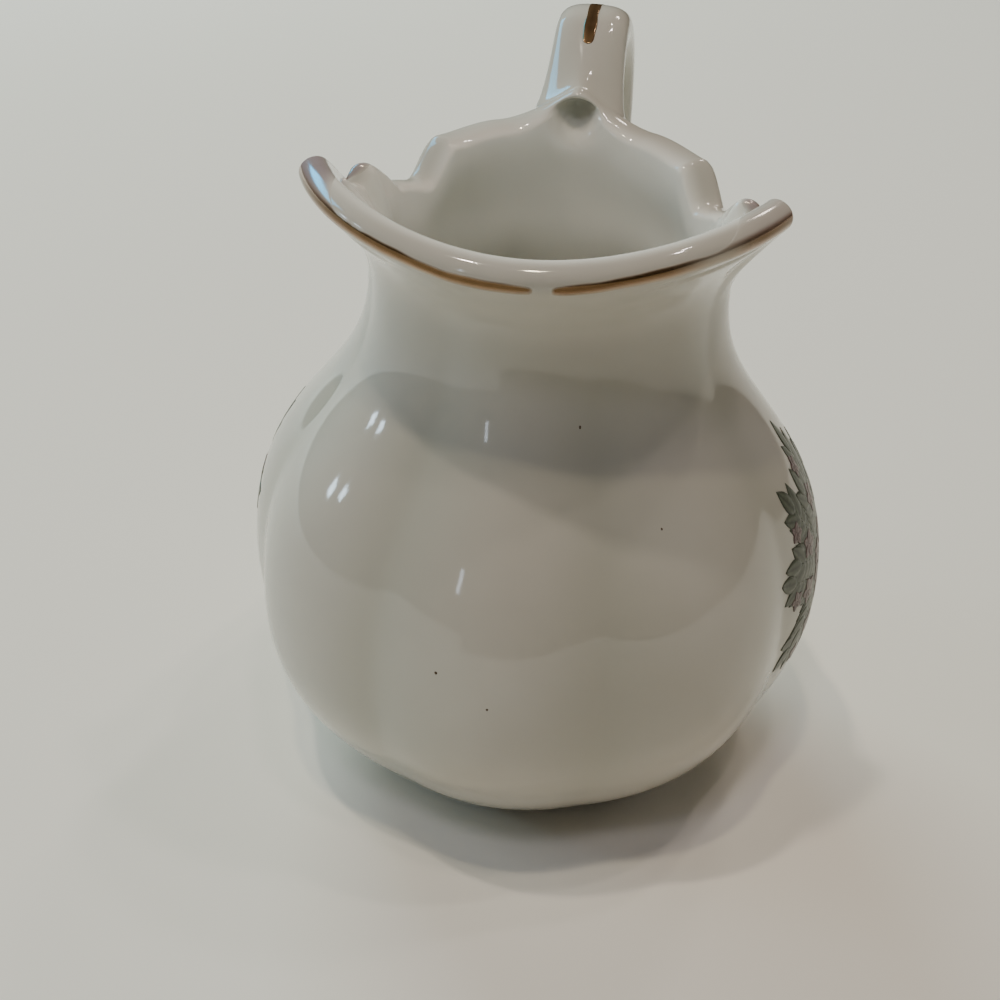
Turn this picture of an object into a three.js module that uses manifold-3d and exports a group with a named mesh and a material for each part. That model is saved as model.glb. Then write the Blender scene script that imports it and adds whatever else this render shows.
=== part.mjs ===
// A small porcelain syrup pitcher: lobed belly, narrow neck, scalloped flaring rim and a loop handle,
// with gilt lines on the rim and the handle and a printed sprig on each side.
// Millimetres, +Z up. The origin is the middle of the flat base, the lip faces -Y and the handle +Y.
// Azimuths are in degrees round the axis: 0 at the lip, 90 at +X, 180 at the handle.

import * as THREE from 'three';
import Module from 'manifold-3d';

const wasm = await Module();
wasm.setup();

// Body, by heights above the table and radii from the axis
const BASE_RADIUS = 20.2;
const BASE_BEVEL = 0.6;
const BELLY_RADIUS = 36;
const BELLY_HEIGHT = 25.2;
const BELLY_FULLNESS = 22.2; // run above the widest ring before the shoulder turns in
const NECK_RADIUS = 20.9;
const NECK_HEIGHT = 63.5;
const NECK_EASE = 16.2; // run below the narrowest ring in which the shoulder turns up
const WALL = 3;
const FLOOR = 3.6;

// Lobes: round ribs down the belly with soft valleys between them
const LOBES = 8;
const LOBE_DEPTH = 1.6;
const INNER_LOBE_DEPTH = 0.9; // the same lobes inside, where the slip filled the valleys
const NECK_LOBE_DEPTH = 0.4;
const VALLEY_SOFTNESS = 0.16;
const LOBE_FADE = 6; // the valleys would run out this far below the table
const INNER_LOBE_FADE = 0;

// Rim from the lip round to the handle, alike on both sides.
// Each station has an azimuth, a rise above the neck ring, an overhang past it and an outward lean.
const RIM_THICKNESS = 3.2;
const LIP = { azimuth: 0, rise: 10.5, overhang: 5.9, lean: 46 };
const WING = { azimuth: 67.5, rise: 13.1, overhang: 5.7, lean: 42 };
const WING_ROOT = { azimuth: 76.5, rise: 8.9, overhang: 2.2, lean: 30 };
const NOTCH = { azimuth: 83, rise: 8, overhang: 1.5, lean: 24 };
const CURL = { azimuth: 90, rise: 10, overhang: 0.7, lean: 26 };
const DIP = { azimuth: 115, rise: 4.8, overhang: -0.5, lean: 8 };
const SHOULDER = { azimuth: 132, rise: 9.3, overhang: -0.8, lean: 8 };
const STEP = { azimuth: 152, rise: 10.2, overhang: -1, lean: 5 };
const BACK = { azimuth: 180, rise: 15.1, overhang: -1, lean: 0 };
const RIM = [LIP, WING, WING_ROOT, NOTCH, CURL, DIP, SHOULDER, STEP, BACK];
const PEAK_POWER = 1.8; // how steeply the rim climbs to its peak at the back
const PEAK_SOFTNESS = 2; // degrees of rim over which the peak is rounded
const FLARE_PULL = 0.4; // share of the way from neck to rim over which each end keeps its direction

// Handle: a rounded strap from the back of the rim to the belly, luted on with slip at both ends
const HANDLE_WIDTH = 9.2;
const HANDLE_ROOT_WIDTH = 11.2;
const HANDLE_FOOT_WIDTH = 11;
const HANDLE_THICKNESS = 5.6;
const HANDLE_RISE = 6.6; // top of the loop above the back of the rim
const HANDLE_TOP_SETBACK = 13; // top of the loop behind the back of the rim
const HANDLE_REACH = 14; // back of the loop behind the belly
const HANDLE_FOOT_HEIGHT = 39;
const HANDLE_EMBED = 3; // how far the uncut strap runs into the belly
const HANDLE_SQUARENESS = 0.72; // 1 is an ellipse in section, less is squarer
const HANDLE_SPREAD = 0.2; // share of the length over which each end widens
// Turns of the loop: shares of the way from end to end across, and up or down
const HANDLE_ARCH = { across: 0.5, up: 0.68 };
const HANDLE_UPPER_TURN = { across: 0.72, down: 0.14 };
const HANDLE_BACK = { across: 1, down: 0.42 };
const HANDLE_LOWER_TURN = { across: 0.66, down: 0.76 };
const HANDLE_SINK = 0.6; // slope of the end inside the belly
const SLIP_THICKNESS = 0.6;
const JOINT_GAP = 0.3;

// Gilding and prints: thin films that stand just off the glaze
const FILM_THICKNESS = 0.3;
const FILM_GAP = 0.3;
const LIP_LINE_WIDTH = 1.7;
const LIP_LINE_TURN = 32; // degrees up the rounded edge from the outer face, as for the next lines
const WORN_GAP_START = 4.6; // azimuths of the bare spot near the middle of the lip
const WORN_GAP_END = 9.4;
const LINE_BREAK = 1; // degrees of rim between a lip line and the gilding of the wing tip
const TIP_LINE_WIDTH = 4.5; // gilding over the edge of a wing tip or a curl
const TIP_LINE_TURN = 56;
const WING_STROKE = 9; // degrees of rim gilded before a wing tip
const WING_STROKE_BEHIND = 4.5;
const CURL_STROKE = 4.5; // degrees of rim gilded to either side of a curl
const BACK_LINE_WIDTH = 1.2;
const BACK_LINE_TURN = 20;
const BACK_LINE_START = 121.5; // azimuth where the line of a back shoulder starts
const STROKE_WIDTH = 1.8;
const STROKE_START = 0.1; // shares of the handle's length
const STROKE_END = 0.55;
const PRINT_AZIMUTH_LEFT = -103;
const PRINT_AZIMUTH_RIGHT = 90;
const PRINT_HEIGHT = 30;
const PRINT_HALF_WIDTH = 14.2;
const PRINT_HALF_HEIGHT = 17;
const PRINT_SPRAYS = 8;
const PRINT_SPRAY_DEPTH = 0.26; // share of the half size between the sprays

// Mesh fineness
const COLUMNS = 80;
const COLUMN_STEP = 360 / COLUMNS;
const LOWER_STEPS = 6;
const UPPER_STEPS = 9;
const FLARE_STEPS = 5;
const EDGE_STEPS = 4;
const HANDLE_STEPS = 34;
const HANDLE_SIDES = 16;
const STROKE_STEPS = 16;
const FILM_FACET = 16; // degrees of the rim's rounding that half a facet of a film may span
const PRINT_SIDES = 48;
const PRINT_RINGS = 4;

const { degToRad, radToDeg, lerp, smoothstep, euclideanModulo } = THREE.MathUtils;

// Place in space of a point of the half section at an azimuth
function spin(point, azimuth) {
  const turn = degToRad(azimuth);
  return new THREE.Vector3(point.x * Math.sin(turn), -point.x * Math.cos(turn), point.y);
}

// Whole numbers from 0 to count, each mapped
function steps(count, map) {
  return Array.from({ length: count + 1 }, (_, index) => map(index));
}

// Closed skin over rings of points; a ring of one point is a pole, and an open end is closed across its ring
function skin(rings) {
  const points = rings.flat();
  const index = [];
  let start = 0;
  for (let row = 0; row + 1 < rings.length; row += 1) {
    const here = rings[row].length;
    const next = rings[row + 1].length;
    const count = Math.max(here, next);
    for (let side = 0; side < count; side += 1) {
      const a = start + (side % here);
      const b = start + ((side + 1) % here);
      const c = start + here + (side % next);
      const d = start + here + ((side + 1) % next);
      const acrossIsShorter = points[a].distanceTo(points[d]) < points[b].distanceTo(points[c]);
      if (here === 1) index.push(a, d, c);
      else if (next === 1) index.push(a, b, c);
      else if (acrossIsShorter) index.push(a, b, d, a, d, c);
      else index.push(a, b, c, b, d, c);
    }
    start += here;
  }
  const firstEnd = endCap(0, rings[0].length).reverse();
  index.push(...firstEnd, ...endCap(start, rings.at(-1).length));
  const geometry = new THREE.BufferGeometry().setFromPoints(points);
  geometry.setIndex(volume(points, index) > 0 ? index : index.reverse());
  return geometry;
}

// Faces that close a ring by joining each point to the one opposite, which also suits a bent strip
function endCap(start, count) {
  const index = [];
  for (let side = 0; side + 1 < count / 2; side += 1) {
    const here = start + side;
    const opposite = start + count - 1 - side;
    index.push(here, here + 1, opposite - 1, here, opposite - 1, opposite);
  }
  return index;
}

// Signed volume of a closed triangle mesh
function volume(points, index) {
  let sum = 0;
  for (let corner = 0; corner < index.length; corner += 3) {
    const [a, b, c] = index.slice(corner, corner + 3).map((at) => points[at]);
    sum += a.dot(b.clone().cross(c));
  }
  return sum / 6;
}

// Solid for cutting and joining, and back
function toSolid(geometry) {
  const vertProperties = new Float32Array(geometry.attributes.position.array);
  const triVerts = new Uint32Array(geometry.index.array);
  return new wasm.Manifold(new wasm.Mesh({ numProp: 3, vertProperties, triVerts }));
}

function fromSolid(solid) {
  const { vertProperties, triVerts } = solid.getMesh();
  const geometry = new THREE.BufferGeometry();
  geometry.setAttribute('position', new THREE.BufferAttribute(vertProperties, 3));
  geometry.setIndex(new THREE.BufferAttribute(triVerts, 1));
  return geometry;
}

// 0 on the ribs, 1 at the bottom of the valleys between them
function valley(azimuth) {
  const wave = Math.hypot(Math.cos((degToRad(azimuth) * LOBES) / 2), VALLEY_SOFTNESS);
  const crest = Math.hypot(1, VALLEY_SOFTNESS);
  return (crest - wave) / (crest - VALLEY_SOFTNESS);
}

// Depth of the valleys at a height, on the outside or the inside
function lobeDepth(height, inside) {
  const deepest = inside ? INNER_LOBE_DEPTH : LOBE_DEPTH;
  const fade = inside ? INNER_LOBE_FADE : LOBE_FADE;
  if (height < BELLY_HEIGHT) return deepest * smoothstep(height, -fade, BELLY_HEIGHT);
  return lerp(deepest, NECK_LOBE_DEPTH, smoothstep(height, BELLY_HEIGHT, NECK_HEIGHT));
}

// Lower belly: part of an ellipse from a height up to the widest ring, set in from the outer face
function lowerBelly(inset, bottom) {
  const depth = BELLY_HEIGHT / Math.sqrt(1 - (BASE_RADIUS / BELLY_RADIUS) ** 2) - inset;
  const low = Math.asin((BELLY_HEIGHT - bottom) / depth);
  return steps(LOWER_STEPS, (step) => {
    const angle = low * (1 - step / LOWER_STEPS);
    const radius = (BELLY_RADIUS - inset) * Math.cos(angle);
    return new THREE.Vector2(radius, BELLY_HEIGHT - depth * Math.sin(angle));
  });
}

// Upper belly and shoulder: one curve from the widest ring to the neck ring
function shoulderCurve(inset) {
  return new THREE.CubicBezierCurve(
    new THREE.Vector2(BELLY_RADIUS - inset, BELLY_HEIGHT),
    new THREE.Vector2(BELLY_RADIUS - inset, BELLY_HEIGHT + BELLY_FULLNESS),
    new THREE.Vector2(NECK_RADIUS - inset, NECK_HEIGHT - NECK_EASE),
    new THREE.Vector2(NECK_RADIUS - inset, NECK_HEIGHT),
  );
}

// Belly from a height up to the neck ring with the lobes pressed in
function belly(inset, bottom, azimuth) {
  const plain = [...lowerBelly(inset, bottom), ...shoulderCurve(inset).getPoints(UPPER_STEPS).slice(1)];
  return plain.map(({ x, y }) => new THREE.Vector2(x - valley(azimuth) * lobeDepth(y, inset > 0), y));
}

// Mid-line of the rim at an azimuth, eased from station to station, with a rounded peak at the back
function rimAt(azimuth) {
  const fromBack = 180 - Math.abs(euclideanModulo(azimuth + 180, 360) - 180);
  const turn = Math.max(0, 180 - Math.hypot(fromBack, PEAK_SOFTNESS));
  const next = Math.max(1, RIM.findIndex((station) => station.azimuth >= turn));
  const from = RIM[next - 1];
  const to = RIM[next];
  const climb = ((turn - from.azimuth) / (to.azimuth - from.azimuth)) ** PEAK_POWER;
  const share = to === BACK ? climb : smoothstep(turn, from.azimuth, to.azimuth);
  return {
    radius: NECK_RADIUS + lerp(from.overhang, to.overhang, share),
    height: NECK_HEIGHT + lerp(from.rise, to.rise, share),
    lean: degToRad(lerp(from.lean, to.lean, share)),
  };
}

// Point on the rounded rim edge: 0 degrees on the outer face, 90 on the edge, 180 on the inner face
function rimPoint(azimuth, degrees, lift = 0) {
  const { radius, height, lean } = rimAt(azimuth);
  const angle = degToRad(degrees) - lean;
  const round = RIM_THICKNESS / 2 + lift;
  return new THREE.Vector2(radius + round * Math.cos(angle), height + round * Math.sin(angle));
}

// Flare from a point of the neck ring to a point of the rim, leaving upright and arriving at the rim's lean
function flare(neck, edge, azimuth) {
  const { lean } = rimAt(azimuth);
  const pull = FLARE_PULL * neck.distanceTo(edge);
  const along = new THREE.Vector2(Math.sin(lean), Math.cos(lean)).multiplyScalar(pull);
  const rise = new THREE.Vector2(neck.x, neck.y + pull);
  const curve = new THREE.CubicBezierCurve(neck, rise, edge.clone().sub(along), edge);
  return curve.getPoints(FLARE_STEPS).slice(1);
}

// Outer face of the body at an azimuth, from the base to the rim
function outerFace(azimuth) {
  const wall = belly(0, BASE_BEVEL, azimuth);
  const edge = rimPoint(azimuth, 0);
  return [new THREE.Vector2(BASE_RADIUS - BASE_BEVEL, 0), ...wall, ...flare(wall.at(-1), edge, azimuth)];
}

// Inner face of the body at an azimuth, from the rim down to the edge of the floor
function innerFace(azimuth) {
  const wall = belly(WALL, FLOOR, azimuth);
  const edge = rimPoint(azimuth, 180);
  return [...wall, ...flare(wall.at(-1), edge, azimuth)].reverse();
}

// Body of the pitcher: outer face, rounded rim edge and inner face in one skin
function bodyShell() {
  const sections = steps(COLUMNS - 1, (column) => {
    const azimuth = column * COLUMN_STEP;
    const edge = steps(EDGE_STEPS, (step) => rimPoint(azimuth, (180 * step) / EDGE_STEPS)).slice(1, -1);
    const profile = [...outerFace(azimuth), ...edge, ...innerFace(azimuth)];
    return profile.map((point) => spin(point, azimuth));
  });
  const rings = sections[0].map((_, row) => sections.map((section) => section[row]));
  return skin([[new THREE.Vector3()], ...rings, [new THREE.Vector3(0, 0, FLOOR)]]);
}

// Solid filling of the pitcher's outside, swollen by a distance, for cutting what rests on it
function swollenBody(distance) {
  const top = NECK_HEIGHT + BACK.rise + distance;
  const sections = steps(COLUMNS - 1, (column) => {
    const azimuth = column * COLUMN_STEP;
    const face = outerFace(azimuth);
    const profile = face.map((point, row) => {
      const before = face[Math.max(0, row - 1)];
      const after = face[Math.min(face.length - 1, row + 1)];
      const along = after.clone().sub(before).normalize();
      return new THREE.Vector2(point.x + distance * along.y, point.y - distance * along.x);
    });
    profile.push(rimPoint(azimuth, 45, distance), rimPoint(azimuth, 90, distance));
    return profile.map((point) => spin(point, azimuth));
  });
  const rings = sections[0].map((_, row) => sections.map((section) => section[row]));
  return toSolid(skin([[new THREE.Vector3(0, 0, -distance)], ...rings, [new THREE.Vector3(0, 0, top)]]));
}

// Outer radius of the plain belly at a height
function outerRadius(height) {
  if (height <= BELLY_HEIGHT) {
    const depth = BELLY_HEIGHT / Math.sqrt(1 - (BASE_RADIUS / BELLY_RADIUS) ** 2);
    return BELLY_RADIUS * Math.sqrt(1 - ((BELLY_HEIGHT - height) / depth) ** 2);
  }
  const curve = shoulderCurve(0);
  let low = 0;
  let high = 1;
  for (let halving = 0; halving < 40; halving += 1) {
    const middle = (low + high) / 2;
    if (curve.getPoint(middle).y < height) low = middle;
    else high = middle;
  }
  return curve.getPoint(low).x;
}

// Point standing off the lobed belly
function bellyPoint(azimuth, height, lift) {
  const radius = (at) => outerRadius(at) - valley(azimuth) * lobeDepth(at, false);
  const span = 0.2;
  const along = new THREE.Vector2(radius(height + span) - radius(height - span), 2 * span).normalize();
  return spin(new THREE.Vector2(radius(height) + lift * along.y, height - lift * along.x), azimuth);
}

// Middle line of the handle, in the plane of the lip and the handle
function handlePath() {
  const rim = rimAt(BACK.azimuth);
  const rimTop = rim.height + RIM_THICKNESS / 2;
  const half = HANDLE_THICKNESS / 2;
  const topY = rim.radius + HANDLE_TOP_SETBACK;
  const topZ = rimTop + HANDLE_RISE - half;
  const backY = BELLY_RADIUS + HANDLE_REACH - half;
  const footZ = HANDLE_FOOT_HEIGHT;
  const footY = outerRadius(footZ);
  const rootZ = rimTop - half - RIM_THICKNESS / 4;
  const point = (y, z) => new THREE.Vector3(0, y, z);
  const outward = (fromY, turn) => point(lerp(fromY, backY, turn.across), lerp(topZ, footZ, turn.down));
  return new THREE.CatmullRomCurve3([
    point(rim.radius, rootZ),
    point(lerp(rim.radius, topY, HANDLE_ARCH.across), lerp(rootZ, topZ, HANDLE_ARCH.up)),
    point(topY, topZ),
    outward(topY, HANDLE_UPPER_TURN),
    outward(topY, HANDLE_BACK),
    outward(footY, HANDLE_LOWER_TURN),
    point(footY, footZ),
    point(footY - HANDLE_EMBED, footZ - HANDLE_SINK * HANDLE_EMBED),
  ]);
}

const HANDLE_PATH = handlePath();

// Width of the handle at a share of its length, spreading to both ends
function handleWidth(share) {
  const root = (HANDLE_ROOT_WIDTH - HANDLE_WIDTH) * (1 - smoothstep(share, 0, HANDLE_SPREAD));
  const foot = (HANDLE_FOOT_WIDTH - HANDLE_WIDTH) * smoothstep(share, 1 - HANDLE_SPREAD, 1);
  return HANDLE_WIDTH + root + foot;
}

// Point on the handle: 0 degrees at its +X edge, 90 on the outer side of the loop
function handlePoint(share, degrees, lift = 0) {
  const centre = HANDLE_PATH.getPointAt(share);
  const along = HANDLE_PATH.getTangentAt(share);
  const swell = (value) => Math.sign(value) * Math.abs(value) ** HANDLE_SQUARENESS;
  const side = (handleWidth(share) / 2 + lift) * swell(Math.cos(degToRad(degrees)));
  const out = (HANDLE_THICKNESS / 2 + lift) * swell(Math.sin(degToRad(degrees)));
  return new THREE.Vector3(side, centre.y - out * along.z, centre.z + out * along.y);
}

// Strap of the handle between two shares of its length, uncut
function strap(from, to) {
  const rings = steps(HANDLE_STEPS, (step) => {
    const share = lerp(from, to, step / HANDLE_STEPS);
    return steps(HANDLE_SIDES - 1, (side) => handlePoint(share, (360 * side) / HANDLE_SIDES));
  });
  return toSolid(skin(rings));
}

// Handle cut to sit clear of the slip
function handle() {
  return fromSolid(strap(0, 1).subtract(swollenBody(2 * JOINT_GAP + SLIP_THICKNESS)));
}

// Pad of slip between the body and one end of the handle
function slipPad(from, to) {
  const layer = swollenBody(JOINT_GAP + SLIP_THICKNESS).subtract(swollenBody(JOINT_GAP));
  return fromSolid(strap(from, to).intersect(layer));
}

// Thin strip along a list of places: place(at, across, lift) gives its points, across from -1 to 1
function strip(places, parts, place) {
  const across = steps(parts, (part) => lerp(-1, 1, part / parts));
  const rings = places.map((at) => {
    const under = across.map((value) => place(at, value, FILM_GAP));
    const over = across.map((value) => place(at, value, FILM_GAP + FILM_THICKNESS));
    return [...under, ...over.reverse()];
  });
  return skin(rings);
}

// Azimuths from one end to the other, with every column of the body between them
function azimuthsBetween(from, to) {
  const low = Math.min(from, to);
  const high = Math.max(from, to);
  const columns = steps(2 * COLUMNS, (column) => (column - COLUMNS) * COLUMN_STEP);
  const margin = COLUMN_STEP / 4;
  const between = columns.filter((azimuth) => azimuth > low + margin && azimuth < high - margin);
  return [from, ...(from < to ? between : between.reverse()), to];
}

// Gilt line along the rim between two azimuths, over a stretch of its rounded edge
function rimLine(from, to, middle, width) {
  const half = radToDeg(width / RIM_THICKNESS);
  const parts = Math.max(2, Math.ceil(half / FILM_FACET));
  return strip(azimuthsBetween(from, to), parts, (azimuth, across, lift) => {
    return spin(rimPoint(azimuth, middle + half * across, lift), azimuth);
  });
}

// Gilt stroke down the outer side of the handle
function handleStroke() {
  const places = steps(STROKE_STEPS, (step) => lerp(STROKE_START, STROKE_END, step / STROKE_STEPS));
  return strip(places, 2, (at, across, lift) => {
    const edge = radToDeg(Math.asin((STROKE_WIDTH / handleWidth(at)) ** (1 / HANDLE_SQUARENESS)));
    return handlePoint(at, 90 - edge * across, lift);
  });
}

// Printed sprig: a film with a leafy outline round a middle point on the belly
function print(facing) {
  const outline = (lift, ring) => steps(PRINT_SIDES - 1, (corner) => {
    const angle = (2 * Math.PI * corner) / PRINT_SIDES;
    const spray = 1 - PRINT_SPRAY_DEPTH * (0.5 - 0.5 * Math.cos(PRINT_SPRAYS * angle));
    const reach = (spray * ring) / PRINT_RINGS;
    const azimuth = facing + radToDeg((reach * PRINT_HALF_WIDTH * Math.cos(angle)) / BELLY_RADIUS);
    return bellyPoint(azimuth, PRINT_HEIGHT + reach * PRINT_HALF_HEIGHT * Math.sin(angle), lift);
  });
  const middle = (lift) => [bellyPoint(facing, PRINT_HEIGHT, lift)];
  const top = FILM_GAP + FILM_THICKNESS;
  const rings = steps(PRINT_RINGS - 1, (ring) => ring + 1);
  return skin([
    middle(FILM_GAP),
    ...rings.map((ring) => outline(FILM_GAP, ring)),
    ...rings.map((ring) => outline(top, ring)).reverse(),
    middle(top),
  ]);
}

const porcelain = { color: 0xece9e0, roughness: 0.12, metalness: 0 };
const slip = { color: 0xe4e0d5, roughness: 0.35, metalness: 0 };
const gilt = { color: 0xa9803a, roughness: 0.25, metalness: 1 };
const enamel = { color: 0x7f8472, roughness: 0.3, metalness: 0 };

const pitcher = new THREE.Group();

function add(name, geometry, look) {
  geometry.computeVertexNormals();
  const mesh = new THREE.Mesh(geometry, new THREE.MeshStandardMaterial(look));
  mesh.name = name;
  pitcher.add(mesh);
}

add('body', bodyShell(), porcelain);
add('handle', handle(), porcelain);
add('upper_luting_slip', slipPad(0, 0.4), slip);
add('lower_luting_slip', slipPad(0.6, 1), slip);

for (const [name, side] of [['left', -1], ['right', 1]]) {
  const bare = side > 0 ? WORN_GAP_END : WORN_GAP_START;
  const lipEnd = WING.azimuth - WING_STROKE - LINE_BREAK;
  const wing = [WING.azimuth + WING_STROKE_BEHIND, WING.azimuth - WING_STROKE];
  const curl = [CURL.azimuth - CURL_STROKE, CURL.azimuth + CURL_STROKE];
  const back = [BACK_LINE_START, STEP.azimuth];
  add(`gilt_lip_${name}`, rimLine(bare, side * lipEnd, LIP_LINE_TURN, LIP_LINE_WIDTH), gilt);
  add(`gilt_wing_${name}`, rimLine(side * wing[0], side * wing[1], TIP_LINE_TURN, TIP_LINE_WIDTH), gilt);
  add(`gilt_curl_${name}`, rimLine(side * curl[0], side * curl[1], TIP_LINE_TURN, TIP_LINE_WIDTH), gilt);
  add(`gilt_back_${name}`, rimLine(side * back[0], side * back[1], BACK_LINE_TURN, BACK_LINE_WIDTH), gilt);
  add(`print_${name}`, print(side > 0 ? PRINT_AZIMUTH_RIGHT : PRINT_AZIMUTH_LEFT), enamel);
}
add('gilt_handle_stroke', handleStroke(), gilt);

export default pitcher;
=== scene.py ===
"""Looks of the small porcelain syrup pitcher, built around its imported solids.

Formulas are in millimetres and meshes in metres. +Z is up, the lip faces -Y and the handle +Y.
Azimuths are degrees round the axis: 0 at the lip, 90 at +X, 180 at the handle.
"""

import math

import bpy
import numpy as np
from mathutils import Matrix, Vector


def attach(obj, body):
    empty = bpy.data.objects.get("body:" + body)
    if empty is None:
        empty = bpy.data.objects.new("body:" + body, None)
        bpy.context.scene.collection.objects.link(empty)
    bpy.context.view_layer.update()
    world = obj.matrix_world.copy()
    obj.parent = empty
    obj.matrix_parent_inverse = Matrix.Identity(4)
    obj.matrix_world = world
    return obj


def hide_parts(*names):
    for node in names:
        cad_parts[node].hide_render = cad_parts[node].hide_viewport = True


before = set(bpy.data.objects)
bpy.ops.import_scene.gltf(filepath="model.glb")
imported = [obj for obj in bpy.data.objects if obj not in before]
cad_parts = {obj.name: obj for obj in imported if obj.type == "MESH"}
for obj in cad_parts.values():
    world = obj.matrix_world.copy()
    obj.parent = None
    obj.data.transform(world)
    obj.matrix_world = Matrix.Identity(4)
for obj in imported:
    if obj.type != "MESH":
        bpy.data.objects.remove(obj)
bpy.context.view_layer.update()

MM = 0.001

# Body, by heights above the table and radii from the axis
BASE_RADIUS = 20.2
BASE_BEVEL = 0.6
BELLY_RADIUS = 36.0
BELLY_HEIGHT = 25.2
BELLY_FULLNESS = 22.2
NECK_RADIUS = 20.9
NECK_HEIGHT = 63.5
NECK_EASE = 16.2
WALL = 3.0
FLOOR = 3.6

# Lobes: round ribs down the belly with soft valleys between them
LOBES = 8
LOBE_DEPTH = 1.6
INNER_LOBE_DEPTH = 0.9
NECK_LOBE_DEPTH = 0.4
VALLEY_SOFTNESS = 0.16
LOBE_FADE = 6.0  # the valleys would run out this far below the table
INNER_LOBE_FADE = 0.0

# Rim stations: azimuth, rise over the neck ring, overhang past it, outward lean in degrees and
# inward swell of the roll
RIM_THICKNESS = 3.2
RIM = np.array([
    (0.0, 10.5, 5.9, 46.0, 0.4),  # lip
    (67.5, 13.1, 5.7, 42.0, 0.3),  # wing tip
    (76.5, 8.9, 2.2, 30.0, 0.0),  # root of the wing
    (83.0, 8.0, 1.5, 24.0, 0.0),  # notch
    (90.0, 9.8, 0.7, 26.0, 0.1),  # curl
    (104.0, 5.6, 0.0, 14.0, 0.8),  # foot of the curl
    (117.5, 4.8, -0.5, 8.0, 1.2),  # dip
    (129.0, 9.2, -0.8, 8.0, 1.6),  # shoulder
    (152.0, 10.2, -1.0, 5.0, 1.4),  # step
    (180.0, 15.1, -1.0, 0.0, 0.9),  # back
])
CURL_AZIMUTH = 90.0
PEAK_POWER = 1.8  # how steeply the rim climbs to its peak at the back
PEAK_SOFTNESS = 2.0  # degrees of rim over which the peak is rounded
FLARE_PULL = 0.4

# Handle
HANDLE_WIDTH = 9.2
HANDLE_THICKNESS = 5.6
HANDLE_RISE = 6.6
HANDLE_TOP_SETBACK = 13.0
HANDLE_REACH = 14.0
HANDLE_FOOT_HEIGHT = 39.0
HANDLE_EMBED = 3.0
HANDLE_DIVE = 0.6  # fall of its end for each millimetre into the belly
HANDLE_ARCH = (0.5, 0.68)  # shares of the way out and up, from the root to the top
HANDLE_TURN = (0.72, 0.14)  # shares of the way out and down, from the top to the back
HANDLE_BACK = 0.42  # share of the way down, at the back
HANDLE_BEND = (0.66, 0.76)  # shares of the way out from the foot and down from the top
HANDLE_SQUARENESS = 0.72
HANDLE_ROOT_SHARE = 0.17  # shares of the length where the strap runs into its luted ends
HANDLE_FOOT_SHARE = 0.86

# Luted ends of the handle: half sizes of the marks that they leave on the body, and the sweep of their flare
ROOT_HALF_WIDTH = 7.4
ROOT_HALF_HEIGHT = 4.6
ROOT_DROP = 4.2
HOLLOW_SIZE = 0.92  # mouth of the hollow in the root, as a share of its mark
HOLLOW_SINK = (0.0, -0.5, -0.5)  # way of the mouth from the mark into the wall
HOLLOW_TIP = (0.0, 1.5, 2.5)  # way from the middle of the mark to the tip of the hollow
FOOT_HALF_WIDTH = 7.6
FOOT_HALF_HEIGHT = 6.4
LUTED_PULL = 9.0

# Curls: the rim's edge leans round towards the wing here
HOOK_SHIFT = 3.5  # degrees at the top of the edge
HOOK_REACH = 9.0  # degrees to either side

# Creases under the wings' rolls: depth, place and width as shares of the flare, and where along the rim
FOLD_DEPTH = 0.45
FOLD_SHARE = 0.9
FOLD_WIDTH = 0.045
FOLD_START = (24, 40)
FOLD_END = (62, 70)

# Pocket inside the back, behind the handle's root
RECESS_DEPTH = 4.0
RECESS_TURN = 7.0
RECESS_HEIGHT = 77.3
RECESS_ABOVE = 1.0  # how soon it runs out upwards and downwards
RECESS_BELOW = 2.6
RECESS_EDGE = (110, 170)  # degrees of the rim's rounding over which it sets in

# Glaze
POOL_START = (4, 20)  # heights over which it starts and stops pooling in the valleys
POOL_END = (50, 66)
BARE_RING = (13, 14)  # radii over which the bare foot sets in
BARE_HEIGHT = 0.3
INSIDE_LIGHT_START = 0.6  # share of the rim's rounding where the whiter inside, a painted light, sets in

# Films of gold and enamel on the glaze, so thin that they are drawn thicker than life to show
FILM_LIFT = 0.03
FILM_SINK = 0.05
FILM_EDGE = -0.035  # a film's edges dip this far into the glaze

# Gilding on the rim, by azimuth
BARE_SPOT = {"left": 5.0, "right": 7.2}  # the lip is worn bare between these two
LIP_DROP_SPAN = (10, 26)  # the line comes up from the lip's middle
WING_LOW_SPAN = (30, 62)  # its lower edge goes down
WING_SPAN = (42, 60)  # the film widens
WING_MAUVE_SPAN = (20, 58)  # it turns mauve
WING_END = 74.5
WORN_AZIMUTH = 43  # worn stretch of the line, with its reach and the share rubbed off
WORN_REACH = 7
WORN_SHARE = 0.5
CURL_SPAN = (85.5, 94.5)
BACK_SPAN = (120, 154)

# Gilding on the rim, by degrees of the rim's rounding
LIP_LINE = (6, 70)  # lower and upper edge
LIP_DROP = 14  # how much lower the line runs at the lip's middle
# The dense line of the film is painted darkest, a painted reflection of dark surroundings
LIP_DARK_REFLECTION = 50
LIP_FADES = (34, 12)  # reach of the fading at the lower and the upper edge
WING_FILM = (-16, 205)
WING_DARK_REFLECTION = 42
WING_FADE = 70  # at the upper edge
DARK_REFLECTION_REACH = 20.0
ROLL_TOP = (62, 84)  # from the outer side of the roll to its top
RIM_STROKE_TIP = 0.4  # least half width, at the ends

# Gilding on the rim, by shares
LEFT_ON_WINGS = {"left": 0.9, "right": 0.22}  # of the film, on top of each wing
SIDE_MAUVE = 0.4  # of the top's mauve, on the outer side
END_FADE = 0.02  # of a stroke's length, over which it runs out at either end

# Gilt stroke on the handle, between shares of the handle's length
STROKE_START = 0.103
STROKE_END = 0.55
STROKE_HALF_WIDTH = 0.75
STROKE_POINT = 0.03  # least half width, at the ends
STROKE_DENSITY = 0.8  # in the middle, and what is lost at the sides
STROKE_THINNING = 0.2
STROKE_ROWS = 160

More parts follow.
